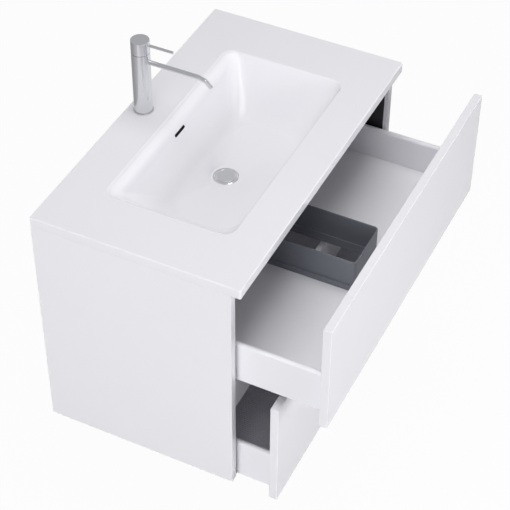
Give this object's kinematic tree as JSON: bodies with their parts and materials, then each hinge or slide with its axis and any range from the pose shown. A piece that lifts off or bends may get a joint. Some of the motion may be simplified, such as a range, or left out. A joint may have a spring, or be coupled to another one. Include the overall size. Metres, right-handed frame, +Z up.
{
  "type": "wall-hung vanity with basin and tap",
  "caption": "Wall-hung vanity: ceramic basin top with overflow, pop-up waste and single-lever tap on a handleless cabinet with full-extension drawers, standing part open.",
  "frame": {"origin": "on the wall plane, at the centre of the back face of the rail that the cabinet hangs on", "axes": "+Z up, +Y into the wall, +X to the right as seen from in front of the vanity"},
  "size_m": [0.8, 0.653, 0.761],
  "materials": {
    "ceramic": "gloss white glaze",
    "panel_white": "white laminated board",
    "rail_grey": "grey laminated board",
    "dowel_wood": "bare beech",
    "steel": "zinc-plated sheet",
    "screw_steel": "zinc-plated",
    "side_steel": "light grey powder coat",
    "guard_plastic": "matt blue-grey",
    "mat_rubber": "matt light grey",
    "chrome": "polished",
    "brass": "plain",
    "inner_plastic": "plain",
    "seal_rubber": "matt black"
  },
  "bodies": {
    "cabinet": {"basin": "ceramic", "side_panel_left": "panel_white", "side_panel_right": "panel_white", "top_front_rail": "panel_white", "mid_rail": "panel_white", "back_rail_top": "rail_grey", "back_rail_bottom": "rail_grey", "wall_rail": "steel", "hangers": "steel", "hanger_screws": "screw_steel", "panel_dowels": "dowel_wood", "runner_upper_left": "steel", "runner_upper_right": "steel", "runner_lower_left": "steel", "runner_lower_right": "steel", "runner_screws": "screw_steel", "tap_base_ring": "chrome", "tap_body": "chrome", "tap_spout": "chrome", "tap_aerator": "inner_plastic", "tap_cartridge": "inner_plastic", "tap_retainer": "brass", "tap_stud": "steel", "tap_clamp": "steel", "tap_nut": "brass", "waste_body": "chrome", "waste_gaskets": "seal_rubber", "waste_nut": "brass"},
    "upper_slides": {"slide_upper_left": "steel", "slide_upper_right": "steel"},
    "lower_slides": {"slide_lower_left": "steel", "slide_lower_right": "steel"},
    "upper_drawer": {"member_upper_left": "steel", "member_upper_right": "steel", "upper_front": "panel_white", "upper_side_left": "side_steel", "upper_side_right": "side_steel", "upper_floor": "panel_white", "upper_back_left": "panel_white", "upper_back_right": "panel_white", "upper_brackets": "steel", "upper_screws": "screw_steel", "siphon_guard": "guard_plastic", "guard_collar": "guard_plastic"},
    "lower_drawer": {"member_lower_left": "steel", "member_lower_right": "steel", "lower_front": "panel_white", "lower_side_left": "side_steel", "lower_side_right": "side_steel", "lower_floor": "panel_white", "lower_back": "panel_white", "lower_brackets": "steel", "lower_screws": "screw_steel", "lower_mat": "mat_rubber"},
    "tap_head": {"tap_stem": "brass", "tap_pin": "steel"},
    "tap_handle": {"tap_cap": "chrome", "tap_lever": "chrome"},
    "plug": {"waste_plug": "chrome"}
  },
  "joints": [
    {"name": "upper_drawer_slide", "type": "slide", "parent": "cabinet", "child": "upper_drawer", "axis": [0, -1, 0], "range_m": [-0.19, 0.16]},
    {"name": "upper_middle_slide", "type": "slide", "parent": "cabinet", "child": "upper_slides", "axis": [0, -1, 0], "range_m": [-0.095, 0.08]},
    {"name": "lower_drawer_slide", "type": "slide", "parent": "cabinet", "child": "lower_drawer", "axis": [0, -1, 0], "range_m": [-0.085, 0.265]},
    {"name": "lower_middle_slide", "type": "slide", "parent": "cabinet", "child": "lower_slides", "axis": [0, -1, 0], "range_m": [-0.0425, 0.1325]},
    {"name": "tap_turn", "type": "hinge", "parent": "cabinet", "child": "tap_head", "pos_m": [0, -0.035, 0.22], "axis": [0, 0, 1], "range_deg": [-45, 45]},
    {"name": "tap_lift", "type": "hinge", "parent": "tap_head", "child": "tap_handle", "pos_m": [0, -0.017, 0.2264], "axis": [-1, 0, 0], "range_deg": [0, 18]},
    {"name": "plug_press", "type": "slide", "parent": "cabinet", "child": "plug", "axis": [0, 0, 1], "range_m": [0, 0.005]}
  ],
  "couplings": [
    {"joint": "upper_middle_slide", "follows": "upper_drawer_slide", "ratio": 0.5},
    {"joint": "lower_middle_slide", "follows": "lower_drawer_slide", "ratio": 0.5}
  ]
}
